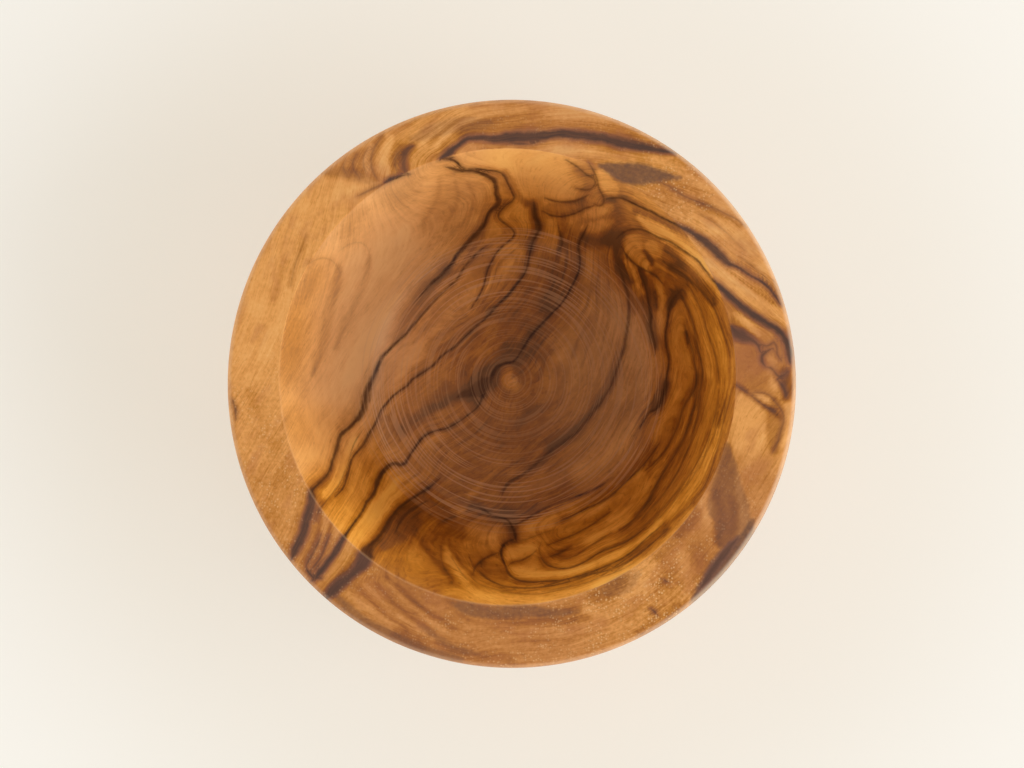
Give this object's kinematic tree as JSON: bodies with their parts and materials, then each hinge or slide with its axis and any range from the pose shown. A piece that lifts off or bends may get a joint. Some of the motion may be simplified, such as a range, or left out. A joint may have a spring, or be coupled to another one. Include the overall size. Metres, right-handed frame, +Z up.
{
  "type": "egg cup",
  "caption": "Low round egg cup turned from one block of olive wood: full-bellied bowl, broad flat rim, hollow that flares to the mouth, with a flat floor that stands an egg upright.",
  "frame": {"origin": "middle of the flat underside, on the table", "axes": "+Z up out of the hollow's mouth; +X to the right and +Y to the top of the picture, which looks straight down"},
  "size_m": [0.06, 0.06, 0.038],
  "materials": {
    "olive_wood": "oiled olive wood, honey to orange brown with dark brown veins, satin"
  },
  "bodies": {
    "root": {"turned_cup": "olive_wood"}
  },
  "joints": []
}
